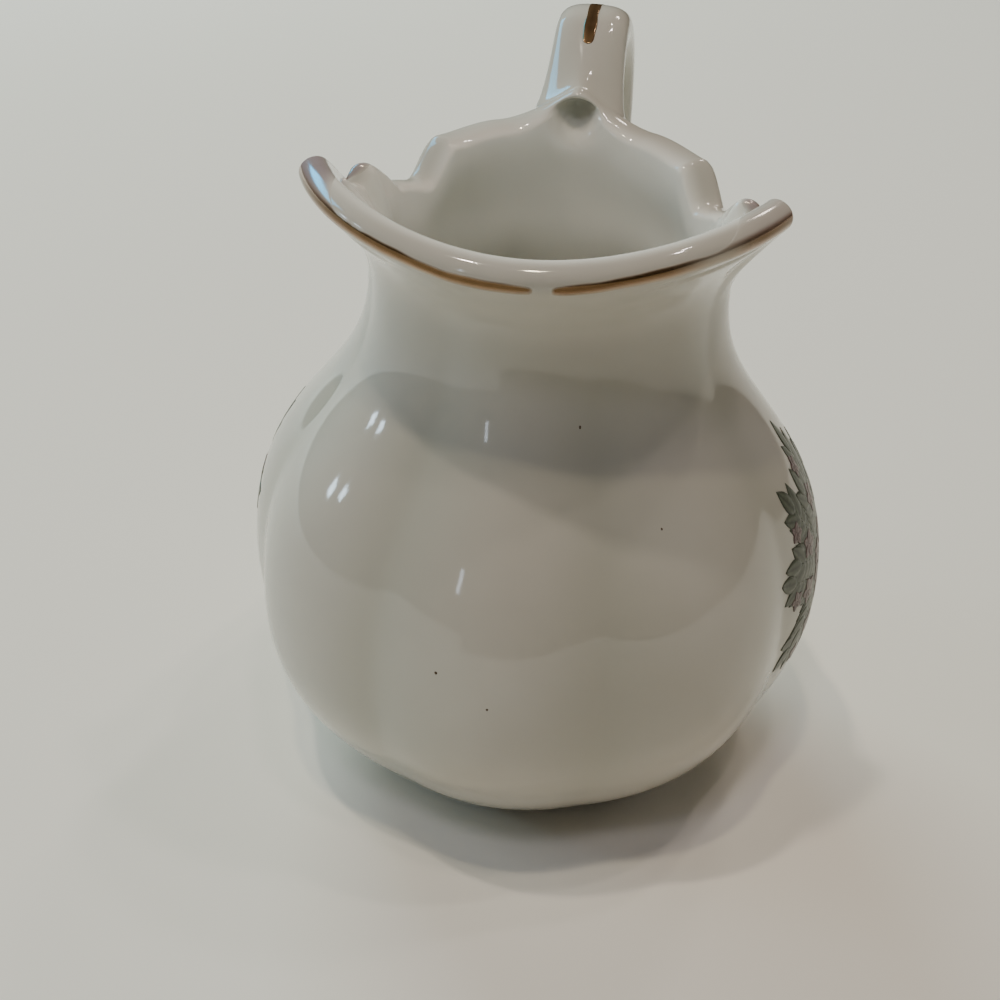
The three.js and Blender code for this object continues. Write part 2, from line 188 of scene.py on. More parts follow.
# Printed sprigs
PRINT_AZIMUTHS = {"left": -103.0, "right": 90.0}
PRINT_HEIGHT = 30.0
PRINT_HALF_WIDTH = 14.2
PRINT_HALF_HEIGHT = 17.0
PRINT_SPRAYS = 8  # long ones, with as many short ones between them
SPRAY_REACHES = (0.8, 0.66)  # shares of the half width, and how much they vary
SPRAY_VARIETY = 0.04
SPRAY_SWING = 5  # degrees off an even star
SPRAY_CURL = 20  # degrees from foot to tip
STEM_WIDTH = 0.5
LEAF_PAIRS = 8  # up each spray, with one more leaf at its end
LEAF_START = 0.1  # share of the spray
LEAF_LENGTH = 5.8  # at the middle of the sprig
LEAF_TAPER = 1.6  # how much shorter it is at the end of a spray
LEAF_SLENDERNESS = 0.55
LEAF_LEAN = 44  # degrees off the stem
LEAF_CURVE = 0.004  # bend towards the stem for each degree of lean
LEAF_TIP = 0.02  # least half width
LEAF_OUTLINE = (0.8, 0.9)  # powers of the length and of the sine that give its width
PETALS = 5
PETAL_SLENDERNESS = 0.8
BLOSSOM_TURN = 11  # degrees off the stems
BLOSSOMS = ((0.0, 2.6), (0.3, 1.7), (0.66, 1.9), (0.98, 1.4))  # shares of the spray and petal lengths
LAYER_LIFTS = {"stems": 0.03, "leaves": 0.036, "blossoms": 0.072}  # off the glaze

# Firing specks: azimuths, heights and sizes, and the inner and outer radius of one of size 1
SPECKS = ((-8.8, 31.1, 1.0), (0.8, 27.9, 0.8), (18.2, 55.4, 1.1), (35.2, 45.7, 0.7))
SPECK_RADII = (0.03, 0.17)

# Fineness of the porcelain
COLUMNS = 352
WING_CROWDING = 0.75  # how far the columns crowd together where the rim turns sharply
CROWD_AZIMUTH = 77
CROWD_REACH = 15
BASE_RINGS = (6.0, 12.0, 17.0)
FLOOR_RINGS = (0.75, 0.4)  # shares of the floor's radius
BELLY_ROWS = (34, 60)  # below and above the widest ring
FLARE_ROWS = 56
EDGE_ROWS = 33
INNER_BELLY_ROWS = (24, 34)
INNER_FLARE_ROWS = 40
HANDLE_SIDES = 72
HANDLE_ROWS = 110
BLEND_ROWS = 26
ROOT_INNER_ROWS = 12  # rows of the body's profile that the handle's root may reach
ROOT_OUTER_ROWS = 70
PROFILE_ROWS = (200, 400)  # of the profile that is read for points on the belly
SLOPE_STEP = 0.2
PATH_STEPS = 60  # between two knots of the handle's line
PATH_NUDGE = 0.002  # share of its length


# Small helpers for curves

def ease(value, low, high):
    """Smooth step: 0 up to low, 1 from high on, flat at both ends."""
    share = np.clip((value - low) / (high - low), 0, 1)
    return share * share * (3 - 2 * share)


def mix(start, end, share):
    """Straight way from start to end."""
    return start + (end - start) * share


def bezier(a, b, c, d, share):
    """Cubic Bezier curve from a to d, pulled towards b and c."""
    rest = 1 - share
    return rest**3 * a + 3 * rest**2 * share * b + 3 * rest * share**2 * c + share**3 * d


def hermite(start, start_pull, end, end_pull, share):
    """Cubic curve from start to end that leaves along start_pull and arrives along end_pull."""
    return bezier(start, start + start_pull / 3, end - end_pull / 3, end, share)


def off_lip(azimuth):
    """Azimuth from -180 to 180, negative on the left."""
    return (azimuth + 180) % 360 - 180


def spin(radius, height, azimuth):
    """Point at a radius and a height, turned to an azimuth round the axis."""
    turn = np.radians(azimuth)
    return np.stack(np.broadcast_arrays(radius * np.sin(turn), -radius * np.cos(turn), height), -1)


# Shape of the body

def valley(azimuth):
    """0 on the ribs, 1 at the bottom of the valleys: a rounded fold of a cosine of half the lobes' count."""
    wave = np.hypot(np.cos(np.radians(azimuth) * LOBES / 2), VALLEY_SOFTNESS)
    crest = math.hypot(1, VALLEY_SOFTNESS)
    return (crest - wave) / (crest - VALLEY_SOFTNESS)


def lobe_depth(height, inside=False):
    """Depth of the valleys: grows from the base to the widest ring, then eases to that of the neck."""
    deepest = INNER_LOBE_DEPTH if inside else LOBE_DEPTH
    fade = INNER_LOBE_FADE if inside else LOBE_FADE
    lower = deepest * ease(height, -fade, BELLY_HEIGHT)
    upper = mix(deepest, NECK_LOBE_DEPTH, ease(height, BELLY_HEIGHT, NECK_HEIGHT))
    return np.where(height < BELLY_HEIGHT, lower, upper)


def belly(inset, bottom, azimuth, lower_rows, upper_rows):
    """Radii and heights of the belly's face from a height up to the neck ring, a row per height.

    Below the widest ring the profile is part of an ellipse, above it a cubic Bezier curve. Both are set in
    by the inset, and the valleys are pressed in.
    """
    depth = BELLY_HEIGHT / math.sqrt(1 - (BASE_RADIUS / BELLY_RADIUS) ** 2) - inset
    low = math.asin((BELLY_HEIGHT - bottom) / depth)
    angle = low * np.linspace(1, 0, lower_rows)
    share = np.linspace(0, 1, upper_rows)[1:]
    wide, narrow = BELLY_RADIUS - inset, NECK_RADIUS - inset
    radius = np.concatenate([wide * np.cos(angle), bezier(wide, wide, narrow, narrow, share)])
    rise = bezier(BELLY_HEIGHT, BELLY_HEIGHT + BELLY_FULLNESS, NECK_HEIGHT - NECK_EASE, NECK_HEIGHT, share)
    height = np.concatenate([BELLY_HEIGHT - depth * np.sin(angle), rise])
    radius = radius[:, None] - valley(azimuth) * lobe_depth(height, inset > 0)[:, None]
    return radius, np.broadcast_to(height[:, None], radius.shape)


def belly_point(azimuth, height, lift=0.0):
    """Point standing off the lobed belly at a height, read off a fine profile."""
    radii, heights = belly(0, 0, np.zeros(1), *PROFILE_ROWS)

    def radius(at):
        return np.interp(at, heights[:, 0], radii[:, 0]) - valley(azimuth) * lobe_depth(at)

    slope = (radius(height + SLOPE_STEP) - radius(height - SLOPE_STEP)) / (2 * SLOPE_STEP)
    length = np.hypot(1, slope)
    return spin(radius(height) + lift / length, height - lift * slope / length, azimuth)


def rim_line(azimuth):
    """Radius, height and lean of the rim's mid-line and the swell of its roll, alike on both sides.

    It is eased from station to station, but climbs ever more steeply to a rounded peak at the back.
    """
    from_back = 180 - np.abs(off_lip(azimuth))
    turn = np.maximum(180 - np.hypot(from_back, PEAK_SOFTNESS), 0)
    upper = np.clip(np.searchsorted(RIM[:, 0], turn), 1, len(RIM) - 1)
    before, after = RIM[upper - 1], RIM[upper]
    plain = (turn - before[..., 0]) / (after[..., 0] - before[..., 0])
    climb = np.clip(plain, 0, 1) ** PEAK_POWER
    share = np.where(upper == len(RIM) - 1, climb, ease(plain, 0, 1))
    station = mix(before, after, share[..., None])
    rise, overhang, lean, rolled = np.moveaxis(station[..., 1:], -1, 0)
    return NECK_RADIUS + overhang, NECK_HEIGHT + rise, np.radians(lean), rolled


def rim_section(azimuth, around, lift=0.0):
    """Radius and height on the rounded rim edge: 0 degrees on the outer face, 90 on the edge, 180 inside.

    The outer half is a quarter circle and the inner half a quarter ellipse, wider by the roll's swell.
    """
    radius, height, lean, rolled = rim_line(azimuth)
    reach = RIM_THICKNESS / 2 + lift
    sideways, upward = np.cos(np.radians(around)), reach * np.sin(np.radians(around))
    sideways = (reach + np.where(sideways < 0, rolled, 0)) * sideways
    return (radius + sideways * np.cos(lean) + upward * np.sin(lean),
            height - sideways * np.sin(lean) + upward * np.cos(lean))


def hook(azimuth):
    """Degrees by which the rim's edge leans round towards the wing: a bell over each curl."""
    turn = off_lip(azimuth)
    away = np.clip(np.abs(np.abs(turn) - CURL_AZIMUTH) / HOOK_REACH, 0, 1)
    return -np.sign(turn) * HOOK_SHIFT * (1 - away**2) ** 2


def flare(neck, edge, lean, share):
    """Radii and heights from the neck ring to the rim: a Bezier curve, upright at first, then leaning."""
    pull = FLARE_PULL * np.hypot(edge[0] - neck[0], edge[1] - neck[1])
    radius = bezier(neck[0], neck[0], edge[0] - pull * np.sin(lean), edge[0], share)
    height = bezier(neck[1], neck[1] + pull, edge[1] - pull * np.cos(lean), edge[1], share)
    return radius, height


def rim_point(azimuth, around, lift=0.0):
    """Point on the rounded rim edge, with the curls hooked, and past 180 degrees down the inner face."""
    radius, height = rim_section(azimuth, np.minimum(around, 180), lift)
    lean = rim_line(azimuth)[2]
    neck = (NECK_RADIUS - WALL - valley(azimuth) * lobe_depth(NECK_HEIGHT, True), NECK_HEIGHT)
    edge = rim_section(azimuth, 180)
    run = np.radians(np.maximum(around - 180, 0)) * RIM_THICKNESS / 2
    share = 1 - run / (3 * FLARE_PULL * np.hypot(edge[0] - neck[0], edge[1] - neck[1]))
    inner = flare(neck, edge, lean, share)
    radius = np.where(around > 180, inner[0] - lift * np.cos(lean), radius)
    height = np.where(around > 180, inner[1] + lift * np.sin(lean), height)
    return spin(radius, height, azimuth + hook(azimuth))


def fold(azimuth, share):
    """Depth of the crease under a wing's roll at a share of the outer flare: a bell across, eased along."""
    turn = np.abs(off_lip(azimuth))
    along = ease(turn, *FOLD_START) * (1 - ease(turn, *FOLD_END))
    return FOLD_DEPTH * along * np.exp(-((share - FOLD_SHARE) / FOLD_WIDTH) ** 2)


def recess(azimuth, height):
    """Depth of the pocket inside the back, behind the handle's root: a bell, steeper above than below."""
    away = 180 - np.abs(off_lip(azimuth))
    up = height - RECESS_HEIGHT
    up = up / np.where(up > 0, RECESS_ABOVE, RECESS_BELOW)
    return RECESS_DEPTH * np.exp(-((away / RECESS_TURN) ** 2) - up**2)


def body_faces(azimuth):
    """Radii and heights of the outer face, the rim's edge and the inner face, a row for each step up.

    Each face is its belly profile with a flare on top. The edge is the rim's rounding between the two.
    """
    lean = rim_line(azimuth)[2]
    outer = belly(0, BASE_BEVEL, azimuth, *BELLY_ROWS)
    share = np.linspace(0, 1, FLARE_ROWS)[1:, None]
    radius, height = flare((outer[0][-1], outer[1][-1]), rim_section(azimuth, 0), lean, share)
    outer_flare = (radius - fold(azimuth, share), height)
    around = np.linspace(0, 180, EDGE_ROWS)[1:-1, None]
    radius, height = rim_section(azimuth, around)
    edge = (radius + ease(around, *RECESS_EDGE) * recess(azimuth, height), height)
    inner = belly(WALL, FLOOR, azimuth, *INNER_BELLY_ROWS)
    share = np.linspace(0, 1, INNER_FLARE_ROWS)[1:, None]
    radius, height = flare((inner[0][-1], inner[1][-1]), rim_section(azimuth, 180), lean, share)
    inner_flare = (radius + recess(azimuth, height), height)

    def stacked(low, high):
        return tuple(np.concatenate(pair) for pair in zip(low, high))

    return stacked(outer, outer_flare), edge, stacked(inner, inner_flare)


# Meshes from grids of points

def new_object(name, points, faces, material):
    """Object in the scene, of points in metres and faces of their numbers."""
    mesh = bpy.data.meshes.new(name)
    mesh.from_pydata(points, [], faces)
    mesh.materials.append(material)
    thing = bpy.data.objects.new(name, mesh)
    bpy.context.scene.collection.objects.link(thing)
    return thing


def new_piece(name, points, faces, material, slot, *nodes):
    """Smooth piece of points in millimetres and groups of faces, riding on the body, in place of nodes."""
    corners = [face for group in faces for face in group.tolist()]
    piece = new_object(name, (np.asarray(points) * MM).tolist(), corners, material)
    piece.data.polygons.foreach_set("use_smooth", [True] * len(piece.data.polygons))
    piece.data.validate()
    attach(piece, "root")
    if nodes:
        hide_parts(*nodes)
    return piece


def quads(rows, columns, round_closed):
    """Corner numbers of the quads of a grid, with the last column joined to the first where it is closed."""
    row = np.arange(rows - 1)[:, None]
    column = np.arange(columns if round_closed else columns - 1)[None, :]
    near = row * columns + column
    side = row * columns + (column + 1) % columns
    return np.stack([near, side, side + columns, near + columns], -1).reshape(-1, 4)


def outward(points, faces):
    """The quads and triangles, turned round if the volume that they enclose comes out negative."""
    volume = 0.0
    for group in faces:
        for last in range(2, group.shape[1]):
            a, b, c = np.asarray(points)[group[:, [0, last - 1, last]]].transpose(1, 0, 2)
            volume += np.einsum("ij,ij->", a, np.cross(b, c))
    return [group if volume > 0 else group[:, ::-1] for group in faces]


def shell(rings, first, last):
    """Points and faces of a closed skin over rings of points, with a pole at either end."""
    rows, columns, _ = rings.shape
    points = np.concatenate([rings.reshape(-1, 3), [first], [last]])
    here = np.arange(columns)
    after = (here + 1) % columns
    top = (rows - 1) * columns
    start_cap = np.stack([after, here, np.full(columns, rows * columns)], -1)
    end_cap = np.stack([top + here, top + after, np.full(columns, rows * columns + 1)], -1)
    return points, outward(points, [quads(rows, columns, True), np.concatenate([start_cap, end_cap])])


def sheets(top, bottom):
    """Points and faces of a stack of thin closed sheets, each between two grids of points."""
    count, rows, columns, _ = top.shape
    each = rows * columns
    points = np.stack([top.reshape(count, each, 3), bottom.reshape(count, each, 3)], 1).reshape(-1, 3)
    upper = quads(rows, columns, False)
    index = np.arange(each).reshape(rows, columns)
    loop = np.concatenate([index[0, :-1], index[:-1, -1], index[-1, :0:-1], index[:0:-1, 0]])
    after = np.roll(loop, -1)
    walls = np.stack([after, loop, loop + each, after + each], -1)
    one = np.concatenate([upper, upper[:, ::-1] + each, walls])
    faces = (one[None] + 2 * each * np.arange(count)[:, None, None]).reshape(-1, 4)
    return points, outward(points, [faces])


def paint(piece, name, values):
    """A number for each point of a piece, for its material to read."""
    layer = piece.data.attributes.new(name, "FLOAT", "POINT")
    layer.data.foreach_set("value", np.asarray(values, dtype=np.float32))


# Materials

def linear(code):
    """Linear colour of an sRGB hex code."""
    value = np.array([int(code[at:at + 2], 16) for at in (1, 3, 5)]) / 255
    value = np.where(value <= 0.04045, value / 12.92, ((value + 0.055) / 1.055) ** 2.4)
    return (*value.tolist(), 1.0)


def add_node(tree, kind, settings=None, links=None):
    """Node of a kind, with settings on its fields or sockets and links given as socket: (node, output)."""
    node = tree.nodes.new(kind)
    for name, value in (settings or {}).items():
        if isinstance(name, str) and hasattr(node, name):
            setattr(node, name, value)
        else:
            node.inputs[name].default_value = value
    for socket, (source, output) in (links or {}).items():
        tree.links.new(source.outputs[output], node.inputs[socket])
    return node


def new_material(name):
    """Empty node material and its tree."""
    material = bpy.data.materials.new(name)
    material.use_nodes = True
    material.node_tree.nodes.clear()
    return material, material.node_tree


# Sizes of the finishes' patterns
GLAZE_CLOUD = 18 * MM
GLAZE_RIPPLE = 7 * MM
RIPPLE_DEPTH = 0.05 * MM
BRUSH_MARK = 1.5 * MM
PRINT_GRAIN = 0.5 * MM


def glazed_porcelain():
    """Slip-cast porcelain under a clear glaze.

    White with a faint warm cloud, whiter inside as painted light, greyer where the glaze has pooled in
    the valleys and darker in the pocket as painted shade, with a glassy skin, a slow ripple and a bare matt
    foot where the piece stood in the kiln.
    """
    material, tree = new_material("glazed_porcelain_slip_cast")
    place = add_node(tree, "ShaderNodeTexCoord")
    cloud = add_node(tree, "ShaderNodeTexNoise", {"Scale": 1 / GLAZE_CLOUD, "Detail": 3.0},
                     {"Vector": (place, "Object")})
    cloudy = add_node(tree, "ShaderNodeMapRange", {"From Min": 0.3, "From Max": 0.7},
                      {"Value": (cloud, "Fac")})
    tint = add_node(tree, "ShaderNodeMixRGB", {"Color1": linear("#c8c4b8"), "Color2": linear("#cfccc1")},
                    {"Fac": (cloudy, "Result")})
    masks = {}
    # The inside mask tints the inside whiter as painted light; the pool mask greys the valleys for pooled
    # glaze and darkens the pocket as painted shade.
    for layer, colour in (("inside", "#f9f6ec"), ("glaze_pool_and_pocket_shade", "#bfbdb0"), ("bare_foot", "#d8d0c0")):
        masks[layer] = add_node(tree, "ShaderNodeAttribute", {"attribute_name": layer})
        tint = add_node(tree, "ShaderNodeMixRGB", {"Color2": linear(colour)},
                        {"Fac": (masks[layer], "Fac"), "Color1": (tint, "Color")})
    rough = add_node(tree, "ShaderNodeMapRange", {"To Min": 0.07, "To Max": 0.7},
                     {"Value": (masks["bare_foot"], "Fac")})
    ripple = add_node(tree, "ShaderNodeTexNoise", {"Scale": 1 / GLAZE_RIPPLE, "Detail": 1.0},
                      {"Vector": (place, "Object")})
    wave = add_node(tree, "ShaderNodeBump", {"Strength": 0.2, "Distance": RIPPLE_DEPTH},
                    {"Height": (ripple, "Fac")})
    glaze = add_node(tree, "ShaderNodeBsdfPrincipled", {"IOR": 1.5}, {
        "Base Color": (tint, "Color"), "Roughness": (rough, "Result"), "Normal": (wave, "Normal")})
    add_node(tree, "ShaderNodeOutputMaterial", {}, {"Surface": (glaze, "BSDF")})
    return material


def bright_gold():
    """Liquid gold brushed on and fired: a dark brown mirror where the film is dense; that dark band is a
    painted reflection of dark surroundings.

    Where it is thin it is a half-clear lustre over the white, orange-beige on the lines as a painted
    reflection of the bright floor, mauve on the tips.
    Where it is worn away at its edges the glaze shows through.
    """
    material, tree = new_material("bright_gold_fired")
    place = add_node(tree, "ShaderNodeTexCoord")
    brush = add_node(tree, "ShaderNodeTexNoise", {"Scale": 1 / BRUSH_MARK, "Detail": 3.0},
                     {"Vector": (place, "Object")})
    depth = add_node(tree, "ShaderNodeAttribute", {"attribute_name": "gold_depth_and_dark_reflection"})
    streak = add_node(tree, "ShaderNodeMapRange", {"To Min": -0.12, "To Max": 0.12},
                      {"Value": (brush, "Fac")})
    depth_and_reflection = add_node(tree, "ShaderNodeMath", {"operation": "ADD", "use_clamp": True},
                     {0: (depth, "Fac"), 1: (streak, "Result")})
    lustre = add_node(tree, "ShaderNodeAttribute", {"attribute_name": "lustre"})
    thin = add_node(tree, "ShaderNodeMixRGB", {"Color1": linear("#bd9873"), "Color2": linear("#b7a6a8")},
                    {"Fac": (lustre, "Fac")})
    # Painted reflection: dark brown along the dense line, orange-beige where the film is thin.
    film = add_node(tree, "ShaderNodeMixRGB", {"Color2": linear("#6a5133")},
                    {"Fac": (depth_and_reflection, "Value"), "Color1": (thin, "Color")})
    kept = add_node(tree, "ShaderNodeAttribute", {"attribute_name": "gold_kept"})
    tint = add_node(tree, "ShaderNodeMixRGB", {"Color1": linear("#d0ccc0")},
                    {"Fac": (kept, "Fac"), "Color2": (film, "Color")})
    mirror = add_node(tree, "ShaderNodeMapRange", {"To Min": 0.4, "To Max": 0.75},
                      {"Value": (depth_and_reflection, "Value")})
    metal = add_node(tree, "ShaderNodeMath", {"operation": "MULTIPLY"},
                     {0: (mirror, "Result"), 1: (kept, "Fac")})
    gold = add_node(tree, "ShaderNodeBsdfPrincipled", {"Roughness": 0.14},
                    {"Base Color": (tint, "Color"), "Metallic": (metal, "Value")})
    add_node(tree, "ShaderNodeOutputMaterial", {}, {"Surface": (gold, "BSDF")})
    return material


def print_enamel(name, rib, blade, margin):
    """Transfer-printed enamel fired into the glaze: satin ink, a darker rib and margin, fine grain."""
    material, tree = new_material(name)
    place = add_node(tree, "ShaderNodeTexCoord")
    grain = add_node(tree, "ShaderNodeTexNoise", {"Scale": 1 / PRINT_GRAIN, "Detail": 2.0},
                     {"Vector": (place, "Object")})
    away = add_node(tree, "ShaderNodeAttribute", {"attribute_name": "from_rib"})
    off_rib = add_node(tree, "ShaderNodeMapRange", {"From Max": 0.35}, {"Value": (away, "Fac")})
    near_margin = add_node(tree, "ShaderNodeMapRange", {"From Min": 0.7}, {"Value": (away, "Fac")})
    inner = add_node(tree, "ShaderNodeMixRGB", {"Color1": linear(rib), "Color2": linear(blade)},
                     {"Fac": (off_rib, "Result")})
    tint = add_node(tree, "ShaderNodeMixRGB", {"Color2": linear(margin)},
                    {"Fac": (near_margin, "Result"), "Color1": (inner, "Color")})
    speckled = add_node(tree, "ShaderNodeMixRGB", {"blend_type": "OVERLAY", "Fac": 0.5},
                        {"Color1": (tint, "Color"), "Color2": (grain, "Fac")})
    ink = add_node(tree, "ShaderNodeBsdfPrincipled", {"Roughness": 0.3, "Specular IOR Level": 0.2},
                   {"Base Color": (speckled, "Color")})
    add_node(tree, "ShaderNodeOutputMaterial", {}, {"Surface": (ink, "BSDF")})
    return material


PORCELAIN = glazed_porcelain()
GOLD = bright_gold()
LEAF_GREEN = print_enamel("enamel_print_leaf_green", "#454a3e", "#5c6253", "#4b5044")
BLOSSOM_MAUVE = print_enamel("enamel_print_blossom_mauve", "#5f4f50", "#7f6f6c", "#5d4d4c")
STEM_BROWN = print_enamel("enamel_print_stem_brown", "#574c3e", "#574c3e", "#6d614f")
SPECK = print_enamel("iron_speck_fired", "#54422f", "#54422f", "#75644f")


# Body

def columns_round():
    """Azimuths of the body's columns, crowded in a bell round wings and curls, alike on both sides."""
    fine = np.linspace(0, 180, 3601)  # every twentieth of a degree
    density = 1 / (1 - WING_CROWDING * np.exp(-((fine - CROWD_AZIMUTH) / CROWD_REACH) ** 2))
    share = np.cumsum(density) - density[0]
    half = np.interp(np.linspace(0, share[-1], COLUMNS // 2 + 1), share, fine)
    return np.concatenate([half[:-1], 360 - half[:0:-1]])


def make_body():
    """Porcelain body: base, belly, neck, flaring lip, rounded rim and inside in one skin of rings."""
    azimuth = columns_round()
    outer, edge, inner = body_faces(azimuth)
    base_radius = np.array([*BASE_RINGS, BASE_RADIUS - BASE_BEVEL])[:, None] + 0 * azimuth
    floor_radius = np.array(FLOOR_RINGS)[:, None] * inner[0][0]
    radius = np.concatenate([base_radius, outer[0], edge[0], inner[0][::-1], floor_radius])
    height = np.concatenate([0 * base_radius, outer[1], edge[1], inner[1][::-1], FLOOR + 0 * floor_radius])
    leaning = ease(height, NECK_HEIGHT, rim_line(azimuth)[1])
    rings = spin(radius, height, azimuth + leaning * hook(azimuth))
    points, faces = shell(rings, (0, 0, 0), (0, 0, FLOOR))
    body = new_piece("porcelain_body", points, faces, PORCELAIN, "porcelain", "body")
    bare = (height < BARE_HEIGHT) * ease(radius, *BARE_RING)
    paint(body, "bare_foot", np.append(bare.ravel(), (0, 0)))
    outside_rows = len(base_radius) + len(outer[0])
    # Painted light: the inside is tinted whiter, setting in partway over the rim's rounding.
    inside_light = ease(np.linspace(0, 1, len(edge[0])), INSIDE_LIGHT_START, 1)
    inside_rows = len(radius) - outside_rows - len(inside_light)
    inside = np.concatenate([np.zeros(outside_rows), inside_light, np.ones(inside_rows)])
    paint(body, "inside", np.append(np.repeat(inside, COLUMNS), (0, 1)))
    pool_and_pocket_shade = valley(azimuth) * ease(height, *POOL_START) * (1 - ease(height, *POOL_END))
    # Painted shade: the pocket inside the back is darkened in step with its depth.
    pool_and_pocket_shade = pool_and_pocket_shade + inside[:, None] * recess(azimuth, height) / RECESS_DEPTH
    paint(body, "glaze_pool_and_pocket_shade", np.append(pool_and_pocket_shade.ravel(), (0, 0)))


make_body()


# Handle

def handle_path(shares):
    """Points and directions of the handle's middle line in the YZ plane at shares of its length.

    A centripetal Catmull-Rom curve through the root, the arch, the top, the turns, the back and the foot.
    """
    rim_radius, rim_height = (float(value) for value in rim_line(np.array(180.0))[:2])
    rim_top = rim_height + RIM_THICKNESS / 2
    half = HANDLE_THICKNESS / 2
    top_y, top_z = rim_radius + HANDLE_TOP_SETBACK, rim_top + HANDLE_RISE - half
    back_y = BELLY_RADIUS + HANDLE_REACH - half
    foot_z = HANDLE_FOOT_HEIGHT
    foot_y = float(belly_point(np.array(180.0), np.array(foot_z))[1])
    root_z = rim_top - half - RIM_THICKNESS / 4
    knots = np.array([
        (rim_radius, root_z),
        (mix(rim_radius, top_y, HANDLE_ARCH[0]), mix(root_z, top_z, HANDLE_ARCH[1])),
        (top_y, top_z),
        (mix(top_y, back_y, HANDLE_TURN[0]), mix(top_z, foot_z, HANDLE_TURN[1])),
        (back_y, mix(top_z, foot_z, HANDLE_BACK)),
        (mix(foot_y, back_y, HANDLE_BEND[0]), mix(top_z, foot_z, HANDLE_BEND[1])),
        (foot_y, foot_z),
        (foot_y - HANDLE_EMBED, foot_z - HANDLE_DIVE * HANDLE_EMBED),
    ])
    ends = np.concatenate([[2 * knots[0] - knots[1]], knots, [2 * knots[-1] - knots[-2]]])
    p0, p1, p2, p3 = (ends[at:len(ends) - 3 + at] for at in range(4))
    gap = np.sqrt(np.linalg.norm(np.diff(ends, axis=0), axis=1))[:, None]
    g0, g1, g2 = gap[:-2], gap[1:-1], gap[2:]
    leave = ((p1 - p0) / g0 - (p2 - p0) / (g0 + g1) + (p2 - p1) / g1) * g1
    arrive = ((p2 - p1) / g1 - (p3 - p1) / (g1 + g2) + (p3 - p2) / g2) * g1
    share = np.linspace(0, 1, PATH_STEPS, endpoint=False)[:, None, None]
    line = hermite(p1, leave, p2, arrive, share).transpose(1, 0, 2).reshape(-1, 2)
    line = np.concatenate([line, knots[-1:]])
    length = np.concatenate([[0], np.cumsum(np.linalg.norm(np.diff(line, axis=0), axis=1))])
    length /= length[-1]

    def at(where):
        return np.stack([np.interp(where, length, line[:, axis]) for axis in (0, 1)], -1)

    direction = at(np.clip(shares + PATH_NUDGE, 0, 1)) - at(np.clip(shares - PATH_NUDGE, 0, 1))
    return at(shares), direction / np.linalg.norm(direction, axis=-1, keepdims=True)


def swell(value):
    """Superellipse: keeps the sign and squares off the round section."""
    return np.sign(value) * np.abs(value) ** HANDLE_SQUARENESS


def strap_point(shares, around, lift=0.0):
    """Points on the strap: 0 degrees at its +X edge, 90 on the outer side of the loop."""
    centre, along = handle_path(shares)
    side = (HANDLE_WIDTH / 2 + lift) * swell(np.cos(np.radians(around)))
    out = (HANDLE_THICKNESS / 2 + lift) * swell(np.sin(np.radians(around)))
    back = centre[..., 0] - out * along[..., 1]
    height = centre[..., 1] + out * along[..., 0]
    return np.stack(np.broadcast_arrays(side, back, height), -1)


def root_mark(around, size):
    """Outline of the upper luted end on the body, round a spot below the top of the rim's back.

    Sideways it is measured round the rim and up and down along the profile, over the rounded edge.
    """
    sideways = size * ROOT_HALF_WIDTH * swell(np.cos(np.radians(around)))
    down = ROOT_DROP - size * ROOT_HALF_HEIGHT * swell(np.sin(np.radians(around)))
    azimuth = 180 - np.degrees(sideways / NECK_RADIUS)
    outer, edge, inner = body_faces(azimuth)
    radius, height = (
        np.concatenate([inner[at][-ROOT_INNER_ROWS:], edge[at][::-1], outer[at][::-1][:ROOT_OUTER_ROWS]])
        for at in (0, 1)
    )
    step = np.hypot(np.diff(radius, axis=0, prepend=radius[:1]), np.diff(height, axis=0, prepend=height[:1]))
    run = np.cumsum(step, axis=0)
    run = run - run[ROOT_INNER_ROWS + len(edge[0]) // 2]
    below = np.clip((run < down).sum(axis=0) - 1, 0, len(run) - 2)[None]

    def both_sides(table):
        return [np.take_along_axis(table, below + row, 0)[0] for row in (0, 1)]

    before, after = both_sides(run)
    share = (down - before) / (after - before)
    return spin(mix(*both_sides(radius), share), mix(*both_sides(height), share), azimuth)


def foot_mark(around, size):
    """Outline of the lower luted end on the belly, round the spot where the handle's line meets it."""
    sideways = size * FOOT_HALF_WIDTH * swell(np.cos(np.radians(around)))
    height = HANDLE_FOOT_HEIGHT - size * FOOT_HALF_HEIGHT * swell(np.sin(np.radians(around)))
    return belly_point(180 - np.degrees(sideways / BELLY_RADIUS), height)


def luted_end(mark, strap_share, way, around, share):
    """Points on a trumpet-shaped end: a cubic curve from its mark on the body to the strap's section."""
    outline = mark(around, 1.0)
    inward = mark(around, 0.9) - outline
    inward = inward / np.linalg.norm(inward, axis=-1, keepdims=True) * LUTED_PULL
    along = handle_path(np.array([strap_share]))[1][0]
    away = way * LUTED_PULL * np.array([0, along[0], along[1]])
    section = strap_point(np.full(np.shape(around), strap_share), around)
    return hermite(outline, inward, section, away, share)


